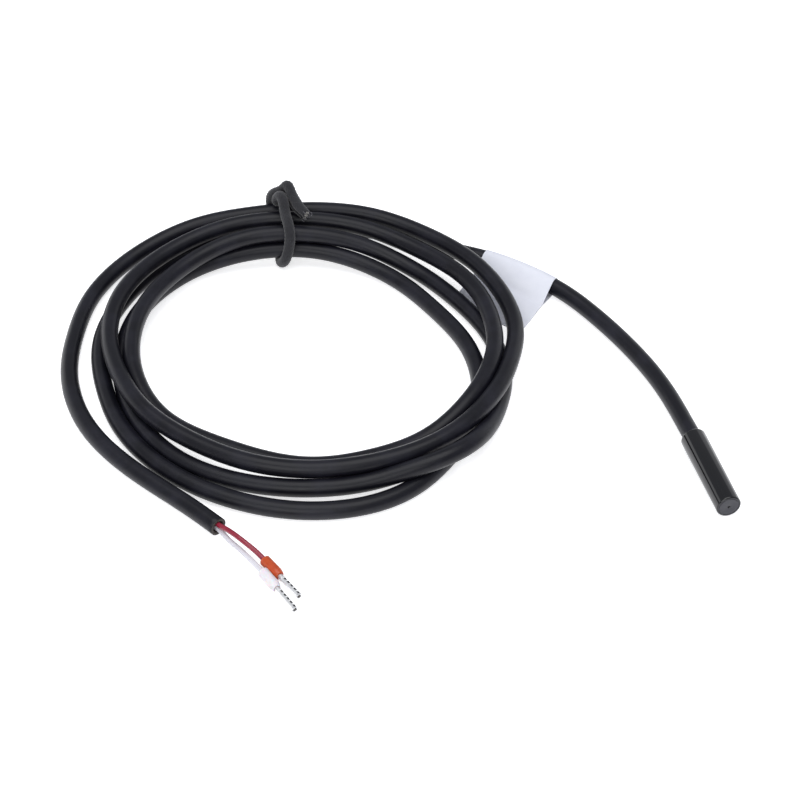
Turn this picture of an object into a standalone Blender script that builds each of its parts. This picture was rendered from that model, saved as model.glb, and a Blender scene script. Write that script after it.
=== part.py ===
"""A temperature probe: a bead thermistor potted in a black moulded sheath, on a tied coil of two-core cable."""
import math

import bmesh
import bpy
import numpy as np
from mathutils import Vector

# Sizes in metres. The probe lies along Y with its tip towards -Y, and the floor is z = 0.
MM = 0.001
FIT = 0.1 * MM            # clearance between small pieces that sit in each other
GAP = 0.3 * MM            # clearance between pieces that touch

# Sheath: a moulded cap with a slight draft, thicker at the cable's end
SHEATH_LENGTH = 24.0 * MM
SHEATH_BACK_D = 6.1 * MM
SHEATH_TIP_D = 5.8 * MM
SHEATH_TIP_WALL = 1.8 * MM
SHEATH_BACK_ROUND = 0.6 * MM
SHEATH_TIP_ROUND = 0.3 * MM
GATE_D = 0.8 * MM
GATE_DEPTH = 0.3 * MM

# Cable: round jacket over two insulated cores of stranded copper
CABLE_D = 4.3 * MM
CORE_D = 1.2 * MM
STRANDS_D = 0.7 * MM
CORE_SPREAD = 0.75 * MM   # from the cable's middle to a core's middle

# Bead thermistor and what joins it to the cores, inside the sheath
RESIN_WALL = 0.5 * MM
RESIN_END = 0.7 * MM
BEAD_D = 2.4 * MM
BEAD_LENGTH = 3.2 * MM
LEAD_D = 0.4 * MM
LEAD_LENGTH = 3.0 * MM
LEAD_SPREAD = 0.6 * MM
LEAD_TUBE_WALL = 0.15 * MM
SPLICE_D = 1.1 * MM
SPLICE_LENGTH = 3.0 * MM
SPLICE_BORE = 0.8 * MM
SPLICE_GRIP = 0.9 * MM    # how far a lead or a core's strands reach into the splice
CORE_END_LENGTH = 3.3 * MM   # insulated core between the jacket's end and the splice

# Wire-end ferrules: a plastic collar on a crimped tinned tube
COLLAR_D = 2.6 * MM
COLLAR_LENGTH = 6.0 * MM
COLLAR_NECK_D = 2.0 * MM
COLLAR_NECK_LENGTH = 1.3 * MM
COLLAR_LIP = 0.2 * MM     # chamfer round the collar's mouth
COLLAR_MOUTH = 1.2 * MM   # how deep the mouth's funnel goes
PIN_LENGTH = 8.0 * MM
PIN_IN_COLLAR = 2.0 * MM
PIN_D = 1.3 * MM
PIN_BORE = 0.9 * MM
PIN_FLAT = 1.1 * MM       # across the flats of the crimp
PIN_SHOULDER = 1.2 * MM   # from the collar's front to the flats
PIN_END_ROUND = 0.5 * MM
PIN_BITES = 5
PIN_BITE_DEPTH = 0.08 * MM
CORE_IN_COLLAR = 3.4 * MM
# Where each collar's front face lies, and the way its pin points
RED_COLLAR_FRONT = (-102.1 * MM, -8.5 * MM)
RED_PIN_HEADING = math.radians(-66.5)
WHITE_COLLAR_FRONT = (-103.95 * MM, -12.0 * MM)
WHITE_PIN_HEADING = math.radians(-69.0)

# Tie: a textile-covered elastic cord round the coil, with one knot
TIE_D = 2.6 * MM
TIE_ANGLE = math.radians(86.5)
TIE_FROM_MIDDLE = 48.0 * MM   # from the coil's middle to the middle of the bundle that it holds
TIE_LIFT_HALF = math.radians(45)
TIE_SEAT_HALF = math.radians(3)

# Marker: a self-adhesive sheet folded round the cable into a flag
MARKER_WIDTH = 21.5 * MM
MARKER_REACH = 12.5 * MM
MARKER_SHEET = 0.12 * MM
MARKER_ROOT = 1.0 * MM    # where the two sheets meet, from the wrap's edge
MARKER_FROM_SHEATH = 66.3 * MM

# Coil: how far each lap lies from the coil's middle, in mm, and how many cables it lies above the floor,
# at every 20 degrees, counterclockwise from where the cable comes in from the probe
COIL_MIDDLE = (-82.0 * MM, 62.0 * MM)
COIL_FIRST = math.radians(20)
COIL_STEP = math.radians(20)
COIL_PLACES = (
    (64.2, 0.1), (56.6, 0), (53.7, 0), (51, 0), (51, 0), (54, 0), (53.5, 0), (52, 0), (49.5, 0), (49.5, 0),
    (50.5, 0), (52, 0), (53.5, 0), (53, 0), (48.5, 0), (45, 0), (41.5, 0), (38.5, 0), (36.5, 0),
    (38, 0), (39.5, 0), (41, 0), (43.5, 0), (47, 0), (47.5, 0), (46.5, 0), (46, 0), (46.5, 0),
    (47, 0), (46.5, 0), (47, 0.1), (49, 0.3), (53.5, 1.1), (50, 0.3), (48, 0), (45.5, 0), (43.5, 0),
    (44, 0.1), (43, 0.7), (42, 1), (44.5, 1), (45.5, 1), (45, 1), (44, 1), (43.5, 0.6), (41, 0),
    (38, 0), (37.5, 0), (39, 0), (39.5, 0), (41.5, 0), (44.5, 0.8), (46, 1.1), (46.5, 1), (47.5, 1),
    (47.5, 1), (48.5, 1), (48.5, 1), (51, 1), (53, 1), (52.5, 1), (49.5, 0.9), (46, 1), (44.5, 1),
    (42.5, 0.8), (43, 0.8), (44, 0.8), (45.5, 0.9), (47.5, 1.1), (48, 1.1), (49, 1), (52, 0.7), (53, 1),
    (54, 1), (54.5, 1), (53.5, 0.9), (56, 0.7),
)
# The cable's free runs, in mm: from the sheath to the coil, and from the coil to the stripped end
LEAD_ROUTE = (
    (0, 17, 2.7), (0, 23, 2.4), (-0.5, 32.5, 2.2), (-2.3, 42.5, 2.2), (-4.7, 52, 2.2), (-8, 61.5, 2.2),
    (-12, 70.5, 2.5), (-17.5, 79, 2.7),
)
TAIL_ROUTE = (
    (-97.5, 118, 7.1), (-107, 116.5, 5.5), (-116.5, 113, 4), (-124.5, 107, 2.9), (-131, 99.5, 2.3),
    (-135, 90.5, 2.2), (-138, 81, 2.2), (-140, 71, 2.2), (-140, 61, 2.2), (-138.5, 51.5, 2.2),
    (-135, 42, 2.2), (-130, 33, 2.2), (-124.5, 25, 2.2), (-118.5, 17, 2.2), (-113, 8.7, 2.2),
)
# The two cores between the jacket's end and their collars, in mm
RED_ROUTE = ((-111.4, 6.5, 3.2), (-109.8, 4, 3.4), (-107.8, 1.2, 3), (-106, -0.9, 2.1))
WHITE_ROUTE = ((-111.3, 5.4, 1), (-109.2, 1.9, 0.7), (-107.4, -2, 0.9))
# The tie's cord, in mm: along the coil to the right, outwards, and up, from the end that shows
TIE_ROUTE = (
    (6.7, -4.4, 15.3), (5.5, -1.4, 15.7), (4.5, 1.8, 16.3), (3.5, 4.2, 17.1), (2.1, 5.4, 17.7), (0.3, 5.8, 17.4),
    (-1.8, 6.5, 16), (-3.2, 7.8, 13.9), (-3.4, 9, 11.8), (-2.8, 9.9, 9.4), (-2, 9.9, 6.6), (-1.4, 9.5, 3.8),
    (-1.2, 7.9, 1.6), (-1.3, 3.5, 1.4), (-1.4, 0.7, 1.4), (-1.6, -2.1, 1.4), (-1.8, -6.6, 1.4), (-1.5, -9, 2.6),
    (-0.7, -10, 5.2), (0.3, -9.7, 8.2), (0.7, -9.2, 11.4), (1, -6.5, 13.4), (0.9, -3.6, 13.8), (0.8, -1.1, 14.1),
    (0.3, 1.3, 14.5), (-0.6, 3.4, 14.3), (-1.3, 5, 13.2), (-0.6, 7, 13), (1, 8.4, 13), (2.8, 5.9, 13.4),
    (3.9, 2.9, 13.1), (4.8, -0.3, 13), (5.6, -3.1, 13),
)
LAPS = 4
COIL_TUCK = 0.3 * MM      # how far the coil's plain solid keeps inside the laps it stands for
COIL_ROUND = 1.6 * MM     # rounding of the plain solid's long edges
COIL_SLICE = math.radians(4)
LEAD_JOIN = math.radians(36)   # where the run from the probe comes in under the outer lap
JOIN_CLEAR = math.radians(1.4)
STEP_SLICE = math.radians(0.3)
RUN_SPACING = 1.9 * CABLE_D    # between the points of a free run

for old in list(bpy.data.objects):
    bpy.data.objects.remove(old, do_unlink=True)


def material(name, colour, roughness, metallic=0.0):
    made = bpy.data.materials.new(name)
    made.use_nodes = True
    shader = made.node_tree.nodes["Principled BSDF"]
    shader.inputs["Base Color"].default_value = (*colour, 1)
    shader.inputs["Roughness"].default_value = roughness
    shader.inputs["Metallic"].default_value = metallic
    return made


SHEATH_BLACK = material("sheath_black", (0.02, 0.02, 0.022), 0.2)
JACKET_BLACK = material("jacket_black", (0.03, 0.03, 0.034), 0.45)
CORE_RED = material("core_red", (0.45, 0.03, 0.06), 0.3)
CORE_WHITE = material("core_white", (0.8, 0.78, 0.84), 0.35)
COLLAR_ORANGE = material("collar_orange", (0.75, 0.1, 0.02), 0.4)
COLLAR_WHITE = material("collar_white", (0.82, 0.82, 0.86), 0.4)
TINNED = material("tinned_copper", (0.75, 0.75, 0.74), 0.3, 1)
COPPER = material("bare_copper", (0.8, 0.4, 0.25), 0.35, 1)
RESIN = material("potting_resin", (0.05, 0.04, 0.035), 0.3)
BEAD = material("bead_epoxy", (0.05, 0.12, 0.05), 0.3)
MARKER_WHITE = material("marker_white", (0.86, 0.87, 0.92), 0.5)
TIE_BLACK = material("tie_textile", (0.025, 0.025, 0.028), 0.9)

probe = bpy.data.objects.new("probe", None)
bpy.context.scene.collection.objects.link(probe)


def finish(name, data, finish_material, place=(0, 0, 0), heading=0.0):
    """Links a mesh or curve as a named piece, with its own X axis pointing along heading."""
    piece = bpy.data.objects.new(name, data)
    data.materials.append(finish_material)
    piece.location = place
    piece.rotation_euler = (0, 0, heading)
    piece.parent = probe
    bpy.context.scene.collection.objects.link(piece)
    return piece


def to_mesh(name, bm, sharp=35):
    bmesh.ops.remove_doubles(bm, verts=bm.verts, dist=1e-7)
    bmesh.ops.recalc_face_normals(bm, faces=bm.faces)
    mesh = bpy.data.meshes.new(name)
    bm.to_mesh(mesh)
    bm.free()
    mesh.shade_smooth()
    mesh.set_sharp_from_angle(angle=math.radians(sharp))
    return mesh


def turned(name, outline, finish_material, place, heading, sides=32):
    """A piece turned round its own X axis from an outline of (along, radius) that starts and ends on the axis,
    or runs right round a wall and back to its start."""
    bm = bmesh.new()
    rings = []
    for along, radius in outline:
        if radius == 0:
            rings.append([bm.verts.new((along, 0, 0))])
            continue
        turn = [2 * math.pi * k / sides for k in range(sides)]
        rings.append([bm.verts.new((along, radius * math.cos(a), radius * math.sin(a))) for a in turn])
    closed = outline[0][1] != 0
    pairs = list(zip(rings, rings[1:])) + ([(rings[-1], rings[0])] if closed else [])
    for one, other in pairs:
        for k in range(sides):
            corners = [one[k % len(one)], one[(k + 1) % sides % len(one)],
                       other[(k + 1) % sides % len(other)], other[k % len(other)]]
            face = list(dict.fromkeys(corners))
            if len(face) > 2:
                bm.faces.new(face)
    return finish(name, to_mesh(name, bm), finish_material, place, heading)


def rounded(corner, start, end, radius, steps=5):
    """Points of a fillet on a profile's corner, from the edge towards start to the edge towards end."""
    corner, start, end = Vector(corner), Vector(start), Vector(end)
    one, other = (start - corner).normalized(), (end - corner).normalized()
    reach = radius / math.tan(one.angle(other) / 2)
    middle = corner + (one + other).normalized() * radius / math.sin(one.angle(other) / 2)
    arm, last = corner + one * reach - middle, corner + other * reach - middle
    swing = arm.angle(last)
    points = []
    for k in range(steps + 1):
        share = k / steps
        points.append(middle + (arm * math.sin((1 - share) * swing) + last * math.sin(share * swing))
                      / math.sin(swing))
    return [(p.x, p.y) for p in points]


def smooth_points(points, spacing):
    """Points at an even spacing on a smooth curve through the given ones."""
    given = np.array(points, float)
    reach = np.r_[0, np.cumsum(np.linalg.norm(np.diff(given, axis=0), axis=1))]
    slope = np.gradient(given, reach, axis=0)
    count = max(2, int(round(reach[-1] / spacing)) + 1)
    at = np.linspace(0, reach[-1], count)
    left = np.clip(np.searchsorted(reach, at, side="right") - 1, 0, len(given) - 2)
    span = (reach[left + 1] - reach[left])[:, None]
    share = (at[:, None] - reach[left][:, None]) / span
    square, cube = share ** 2, share ** 3
    return ((2 * cube - 3 * square + 1) * given[left] + (cube - 2 * square + share) * span * slope[left]
            + (3 * square - 2 * cube) * given[left + 1] + (cube - square) * span * slope[left + 1])


def tube(name, points, diameter, finish_material, roundness=3):
    """A round cord along the points, as a curve with filled ends."""
    curve = bpy.data.curves.new(name, "CURVE")
    curve.dimensions = "3D"
    curve.bevel_depth = diameter / 2
    curve.bevel_resolution = roundness
    curve.use_fill_caps = True
    line = curve.splines.new("POLY")
    line.points.add(len(points) - 1)
    for point, place in zip(line.points, points):
        point.co = (*place, 1)
    return finish(name, curve, finish_material)


# Sheath: a cap with a blind bore from the cable's end, a rounded shoulder and a gate mark in the middle of its tip.
# Everything along the probe is measured from the sheath's middle towards its tip, and its axis lies at this height.
AXIS_UP = SHEATH_BACK_D / 2
AXIS = (0, 0, AXIS_UP)
TIPWARD = math.radians(-90)
back, tip = -SHEATH_LENGTH / 2, SHEATH_LENGTH / 2
bore_r = CABLE_D / 2 + FIT
bore_end = tip - SHEATH_TIP_WALL
tip_r, back_r, gate_r = SHEATH_TIP_D / 2, SHEATH_BACK_D / 2, GATE_D / 2
sheath_outline = [(tip - GATE_DEPTH, 0), (tip - GATE_DEPTH, gate_r * 0.6), (tip, gate_r)]
sheath_outline += rounded((tip, tip_r), (tip, 0), (back, back_r), SHEATH_TIP_ROUND)
sheath_outline += rounded((back, back_r), (tip, tip_r), (back, bore_r), SHEATH_BACK_ROUND)
sheath_outline += [(back, bore_r), (bore_end, bore_r), (bore_end, 0)]
turned("sensor_sheath", sheath_outline, SHEATH_BLACK, AXIS, TIPWARD, 48)

# Potting: the resin that fills the sheath round the bead, open towards the cable. The places of what it holds are
# counted from the tip back to the cable's end.
resin_r = bore_r - FIT
cavity_r = resin_r - RESIN_WALL
cavity_front = bore_end - GAP - RESIN_END
bead_front = cavity_front - FIT
bead_back = bead_front - BEAD_LENGTH
lead_front = bead_back - FIT
lead_back = lead_front - LEAD_LENGTH
splice_front = lead_back + SPLICE_GRIP
splice_back = splice_front - SPLICE_LENGTH
strand_front = splice_back + SPLICE_GRIP
core_front = splice_back - FIT
core_back = core_front - CORE_END_LENGTH
cable_front = core_back - GAP
resin_front = bore_end - GAP
turned("potting_resin", [(resin_front, 0), (resin_front, resin_r), (core_back, resin_r), (core_back, cavity_r),
                         (cavity_front - cavity_r / 2, cavity_r), (cavity_front, cavity_r / 2),
                         (cavity_front, 0)], RESIN, AXIS, TIPWARD, 32)

# Thermistor bead: a drop of epoxy over the chip, round at its front and drawn out towards its leads
bead_r = BEAD_D / 2
bead_outline = [(bead_front, 0)]
for step in range(1, 8):
    swing = math.radians(90) * step / 7
    bead_outline.append((bead_front - bead_r * (1 - math.cos(swing)), bead_r * math.sin(swing)))
bead_outline += [(bead_back + bead_r * 0.6, bead_r * 0.92), (bead_back + bead_r * 0.2, bead_r * 0.78),
                 (bead_back, bead_r * 0.66), (bead_back, 0)]
turned("thermistor_bead", bead_outline, BEAD, AXIS, TIPWARD, 24)

# Leads, their tubes, splices and core ends: one of each on either side of the axis
for side, core_name, core_finish in ((1, "red", CORE_RED), (-1, "white", CORE_WHITE)):
    lead_axis = (side * LEAD_SPREAD, 0, AXIS_UP)
    lead_r = LEAD_D / 2
    tube_back, tube_front = splice_front + FIT, lead_front - FIT
    tube_in, tube_out = lead_r + FIT / 2, lead_r + FIT / 2 + LEAD_TUBE_WALL
    turned(f"bead_lead_{core_name}", [(lead_front, 0), (lead_front, lead_r), (lead_back, lead_r), (lead_back, 0)],
           TINNED, lead_axis, TIPWARD, 12)
    turned(f"lead_tube_{core_name}", [(tube_front, tube_in), (tube_front, tube_out), (tube_back, tube_out),
                                      (tube_back, tube_in)], CORE_WHITE, lead_axis, TIPWARD, 16)
    core_axis = (side * CORE_SPREAD, 0, AXIS_UP)
    turned(f"splice_{core_name}", [(splice_front, SPLICE_BORE / 2), (splice_front, SPLICE_D / 2),
                                   (splice_back, SPLICE_D / 2), (splice_back, SPLICE_BORE / 2)],
           TINNED, core_axis, TIPWARD, 16)
    core_r, strand_r = CORE_D / 2, STRANDS_D / 2
    turned(f"core_end_{core_name}", [(strand_front, 0), (strand_front, strand_r), (core_front, strand_r),
                                     (core_front, core_r), (core_back, core_r), (core_back, 0)],
           core_finish, core_axis, TIPWARD, 16)


# Cable: places on the coil's laps, by the angle travelled since the first of them
def lift_over_tie(angle):
    """The coil rises a little where the tie's cord runs under it."""
    away = abs((angle - TIE_ANGLE + math.pi) % (2 * math.pi) - math.pi)
    share = min(max((away - TIE_SEAT_HALF) / TIE_LIFT_HALF, 0), 1)
    return (TIE_D + GAP) * math.cos(share * math.pi / 2) ** 2


def lap_place(angle):
    """Distance from the coil's middle and level in cables, read smoothly between the coil's places."""
    steps = (angle - COIL_FIRST) / COIL_STEP
    left = min(max(int(steps), 0), len(COIL_PLACES) - 2)
    share = steps - left
    values = []
    for which in range(2):
        near = [COIL_PLACES[min(max(left + k, 0), len(COIL_PLACES) - 1)][which] for k in (-1, 0, 1, 2)]
        before, after = (near[2] - near[0]) / 2, (near[3] - near[1]) / 2
        values.append((2 * share ** 3 - 3 * share ** 2 + 1) * near[1] + (share ** 3 - 2 * share ** 2 + share) * before
                      + (3 * share ** 2 - 2 * share ** 3) * near[2] + (share ** 3 - share ** 2) * after)
    return values[0] * MM, max(values[1], 0)


def lap_point(angle):
    radius, level = lap_place(angle)
    up = CABLE_D * (0.5 + level) + lift_over_tie(angle)
    return (COIL_MIDDLE[0] + radius * math.cos(angle), COIL_MIDDLE[1] + radius * math.sin(angle), up)


def in_metres(route):
    return [tuple(value * MM for value in point) for point in route]


coil_end = COIL_FIRST + COIL_STEP * (len(COIL_PLACES) - 1)
inside_sheath = (0, -cable_front, AXIS_UP)
lead = [(0, -back, AXIS_UP), *in_metres(LEAD_ROUTE), lap_point(COIL_FIRST), lap_point((COIL_FIRST + LEAD_JOIN) / 2),
        lap_point(LEAD_JOIN - JOIN_CLEAR)]
tail = [lap_point(coil_end), *in_metres(TAIL_ROUTE)]
tube("cable_lead", [inside_sheath, *smooth_points(lead, RUN_SPACING)], CABLE_D, JACKET_BLACK)
tube("cable_tail", smooth_points(tail, RUN_SPACING), CABLE_D, JACKET_BLACK)


# Coil: one closed band with the outline of the laps at each angle, stepped where the lead joins and the tail leaves
def coil_section(angle, with_lead, with_tail):
    """Inner and outer radius, underside and top of the laps that pass at an angle."""
    laps = range(0 if with_lead else 1, LAPS + 1 if with_tail else LAPS)
    places = [lap_place(angle + 2 * math.pi * lap) for lap in laps]
    half = CABLE_D / 2 - COIL_TUCK
    inner = min(radius for radius, level in places) - half
    outer = max(radius for radius, level in places) + half
    low = lift_over_tie(angle)
    high = low + CABLE_D * (1 + max(level for radius, level in places)) - COIL_TUCK
    return inner, outer, low, high


def coil_band(name):
    leaves = coil_end - 2 * math.pi * LAPS - JOIN_CLEAR
    angles = [COIL_SLICE * k for k in range(round(2 * math.pi / COIL_SLICE))]
    angles = [a for a in angles if abs(a - LEAD_JOIN) > STEP_SLICE and abs(a - leaves) > STEP_SLICE]
    stations = [(a, a > LEAD_JOIN, a < leaves) for a in angles]
    stations += [(LEAD_JOIN - STEP_SLICE, False, True), (LEAD_JOIN, True, True)]
    stations += [(leaves, True, True), (leaves + STEP_SLICE, True, False)]
    bm = bmesh.new()
    rings = []
    for angle, with_lead, with_tail in sorted(stations):
        inner, outer, low, high = coil_section(angle, with_lead, with_tail)
        corners = ((inner + COIL_ROUND, low + COIL_ROUND, 180), (outer - COIL_ROUND, low + COIL_ROUND, 270),
                   (outer - COIL_ROUND, high - COIL_ROUND, 0), (inner + COIL_ROUND, high - COIL_ROUND, 90))
        ring = []
        for radius, up, start in corners:
            for swing in (math.radians(start), math.radians(start + 45), math.radians(start + 90)):
                r, z = radius + COIL_ROUND * math.cos(swing), up + COIL_ROUND * math.sin(swing)
                ring.append(bm.verts.new((COIL_MIDDLE[0] + r * math.cos(angle),
                                          COIL_MIDDLE[1] + r * math.sin(angle), z)))
        rings.append(ring)
    count = len(rings[0])
    for one, other in zip(rings, rings[1:] + rings[:1]):
        for k in range(count):
            bm.faces.new((one[k], one[(k + 1) % count], other[(k + 1) % count], other[k]))
    finish(name, to_mesh(name, bm, 50), JACKET_BLACK)


coil_band("cable_coil")


# Tie: its cord goes once round the coil and through its own knot
def beside_tie(along, outward, up):
    """A place in metres from one measured at the tie: along the coil, outwards from the bundle's middle, and up."""
    out = Vector((math.cos(TIE_ANGLE), math.sin(TIE_ANGLE), 0))
    right = Vector((math.sin(TIE_ANGLE), -math.cos(TIE_ANGLE), 0))
    return Vector((*COIL_MIDDLE, 0)) + out * (TIE_FROM_MIDDLE + outward) + right * along + Vector((0, 0, up))


tie_points = [beside_tie(*point) for point in in_metres(TIE_ROUTE)]
tube("cable_tie", smooth_points(tie_points, 1.15 * TIE_D), TIE_D, TIE_BLACK, 2)


# Stripped end: each core runs from the jacket's cut end into the collar of its ferrule
def heading_of(points):
    step = Vector(points[-1]) - Vector(points[-2])
    return math.atan2(step.y, step.x)


jacket_end = Vector(tail[-1])
end_heading = heading_of(in_metres(TAIL_ROUTE))
ahead = Vector((math.cos(end_heading), math.sin(end_heading), 0))


def stripped_core(name, core_finish, collar_finish, side, route, front, heading):
    """A core with its bare strands and ferrule. side is 1 for the upper core at the jacket's end and -1 below."""
    along = Vector((math.cos(heading), math.sin(heading), 0))
    front = Vector((*front, COLLAR_D / 2))
    collar_back = front - along * COLLAR_LENGTH
    start = jacket_end + ahead * GAP + Vector((0, 0, side * CORE_SPREAD))
    path = [start, *in_metres(route), collar_back, collar_back + along * CORE_IN_COLLAR]
    tube(f"{name}_core", smooth_points(path, 2 * CORE_D), CORE_D, core_finish, 2)
    strands_from = CORE_IN_COLLAR + FIT - COLLAR_LENGTH
    turned(f"{name}_strands", [(strands_from, 0), (strands_from, STRANDS_D / 2), (PIN_LENGTH - FIT, STRANDS_D / 2),
                               (PIN_LENGTH - FIT, 0)], COPPER, front, heading, 12)
    collar(f"{name}_ferrule_collar", collar_finish, front, heading)
    ferrule_pin(f"{name}_ferrule_pin", front, heading)


def collar(name, collar_finish, front, heading):
    """A moulded bell: wide where the core goes in, necked down on the pin."""
    core_bore, pin_bore = CORE_D / 2 + FIT, PIN_D / 2 + FIT
    step_at = -PIN_IN_COLLAR - FIT
    outer, neck = COLLAR_D / 2, COLLAR_NECK_D / 2
    outline = [(-COLLAR_LENGTH, core_bore + COLLAR_LIP), (-COLLAR_LENGTH, outer - COLLAR_LIP),
               (COLLAR_LIP - COLLAR_LENGTH, outer), (-COLLAR_NECK_LENGTH, outer), (-COLLAR_LIP, neck),
               (0, neck - COLLAR_LIP / 2), (0, pin_bore), (step_at, pin_bore), (step_at, core_bore),
               (COLLAR_MOUTH - COLLAR_LENGTH, core_bore)]
    turned(name, outline, collar_finish, front, heading, 24)


def ferrule_pin(name, front, heading):
    """A tinned tube, round in the collar and pressed nearly square in front of it, with a row of crimp bites."""
    round_r, flat = PIN_D / 2, PIN_FLAT / 2
    pressed, ring_round, ring_square = flat - PIN_BITE_DEPTH, 2, 6
    sections = [(-PIN_IN_COLLAR, round_r, ring_round), (PIN_SHOULDER / 2, round_r, ring_round),
                (PIN_SHOULDER, flat, ring_square)]
    pitch = (PIN_LENGTH - PIN_SHOULDER - 2 * PIN_END_ROUND) / PIN_BITES
    for bite in range(PIN_BITES):
        at = PIN_SHOULDER + (bite + 0.3) * pitch
        for share, half in ((0, flat), (0.2, pressed), (0.45, pressed), (0.65, flat)):
            sections.append((at + share * pitch, half, ring_square))
    sections += [(PIN_LENGTH - PIN_END_ROUND, flat, ring_square), (PIN_LENGTH, flat, ring_square)]
    sections += [(PIN_LENGTH, PIN_BORE / 2, ring_round), (-PIN_IN_COLLAR, PIN_BORE / 2, ring_round)]
    sides = 24
    bm = bmesh.new()
    rings = []
    for along, half, squareness in sections:
        ring = []
        for k in range(sides):
            swing = 2 * math.pi * (k + 0.5) / sides
            c, s = math.cos(swing), math.sin(swing)
            reach = half / (abs(c) ** squareness + abs(s) ** squareness) ** (1 / squareness)
            ring.append(bm.verts.new((along, reach * c, reach * s)))
        rings.append(ring)
    for one, other in zip(rings, rings[1:] + rings[:1]):
        for k in range(sides):
            bm.faces.new((one[k], one[(k + 1) % sides], other[(k + 1) % sides], other[k]))
    finish(name, to_mesh(name, bm, 25), TINNED, front, heading)


stripped_core("red", CORE_RED, COLLAR_ORANGE, 1, RED_ROUTE, RED_COLLAR_FRONT, RED_PIN_HEADING)
stripped_core("white", CORE_WHITE, COLLAR_WHITE, -1, WHITE_ROUTE, WHITE_COLLAR_FRONT, WHITE_PIN_HEADING)


# Marker: one sheet goes round the cable and its two ends stick together into a flag that slopes to the floor
def flag_reach(here, side):
    """How far the flag's solid can reach from the cable: it stops just outside the coil."""
    reach = MARKER_REACH
    while reach > 0:
        end = here + side * reach - Vector((*COIL_MIDDLE, here.z))
        outer = coil_section(math.atan2(end.y, end.x), False, True)[1]
        if end.length > outer + GAP:
            break
        reach -= FIT
    return reach


def marker_flag(name):
    path = smooth_points(lead, MARKER_WIDTH / 60)
    travelled = np.r_[0, np.cumsum(np.linalg.norm(np.diff(path, axis=0), axis=1))]
    wrap_r = CABLE_D / 2 + GAP + MARKER_SHEET / 2
    layer = (MARKER_SHEET + FIT) / 2
    bm = bmesh.new()
    rings = []
    for at in np.linspace(MARKER_FROM_SHEATH, MARKER_FROM_SHEATH + MARKER_WIDTH, 9):
        k = int(np.argmin(abs(travelled - at)))
        here = Vector(path[k])
        ahead_here = Vector(path[k + 1]) - Vector(path[k - 1])
        side = Vector((-ahead_here.y, ahead_here.x, 0)).normalized()
        reach = flag_reach(here, side)
        drop = (here.z - MARKER_SHEET - GAP) * reach / MARKER_REACH
        # The sheet's middle line across the cable: sideways from it and up from it
        root = math.asin(layer / wrap_r)
        line = [(reach, layer - drop), (wrap_r + MARKER_ROOT, layer)]
        turns = 14
        for step in range(turns + 1):
            swing = root + (2 * math.pi - 2 * root) * step / turns
            line.append((wrap_r * math.cos(swing), wrap_r * math.sin(swing)))
        line += [(wrap_r + MARKER_ROOT, -layer), (reach, -layer - drop)]
        ring = []
        for way in (1, -1):
            edge = []
            for i, (across, up) in enumerate(line):
                before, after = line[max(i - 1, 0)], line[min(i + 1, len(line) - 1)]
                run = Vector((after[0] - before[0], after[1] - before[1])).normalized()
                normal = Vector((-run.y, run.x)) * way * MARKER_SHEET / 2
                edge.append(here + side * (across + normal.x) + Vector((0, 0, up + normal.y)))
            ring += edge if way == 1 else edge[::-1]
        rings.append([bm.verts.new(point) for point in ring])
    count = len(rings[0])
    for one, other in zip(rings, rings[1:]):
        for k in range(count):
            bm.faces.new((one[k], one[(k + 1) % count], other[(k + 1) % count], other[k]))
    half = count // 2
    for ring in (rings[0], rings[-1]):
        for k in range(half - 1):
            bm.faces.new((ring[k], ring[k + 1], ring[count - 2 - k], ring[count - 1 - k]))
    finish(name, to_mesh(name, bm, 40), MARKER_WHITE)


marker_flag("marker_label")
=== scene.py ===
"""Looks of a temperature probe: a potted sheath on a tied coil of two-core cable with crimped wire ends."""
import math

import bmesh
import bpy
import numpy as np
from mathutils import Euler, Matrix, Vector


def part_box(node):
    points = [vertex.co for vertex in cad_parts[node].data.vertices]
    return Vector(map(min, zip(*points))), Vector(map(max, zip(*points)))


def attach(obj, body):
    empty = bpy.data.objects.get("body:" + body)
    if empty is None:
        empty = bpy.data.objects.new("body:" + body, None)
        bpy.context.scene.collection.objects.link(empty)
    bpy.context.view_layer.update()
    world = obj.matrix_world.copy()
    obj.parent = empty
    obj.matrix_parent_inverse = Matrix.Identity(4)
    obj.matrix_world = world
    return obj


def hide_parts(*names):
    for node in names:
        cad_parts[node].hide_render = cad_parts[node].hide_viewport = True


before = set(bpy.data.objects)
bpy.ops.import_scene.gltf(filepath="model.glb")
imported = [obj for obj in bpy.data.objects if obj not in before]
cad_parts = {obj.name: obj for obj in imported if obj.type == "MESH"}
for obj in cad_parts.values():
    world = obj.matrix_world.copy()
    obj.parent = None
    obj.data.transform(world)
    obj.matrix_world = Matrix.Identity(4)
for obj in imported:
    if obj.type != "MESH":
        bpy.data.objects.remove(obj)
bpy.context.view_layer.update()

# Camera: a long lens looks down on the coil at 41 degrees, from the side of the wire ends.
look_down, look_round = math.radians(41), math.radians(76.88)
look = Vector((math.cos(look_down) * math.cos(look_round), math.cos(look_down) * math.sin(look_round),
               -math.sin(look_down)))


def placed(name, data):
    """Puts a mesh, lamp or camera into the scene as an object of its own."""
    thing = bpy.data.objects.new(name, data)
    bpy.context.scene.collection.objects.link(thing)
    return thing


camera = placed("studio_camera", bpy.data.cameras.new("studio_camera"))
bpy.context.scene.camera = camera
camera.data.lens = 85.5
camera.data.clip_start = 0.01
camera.location = (-0.1420, -0.2945, 0.3022)
camera.rotation_euler = look.to_track_quat("-Z", "Y").to_euler()

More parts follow.
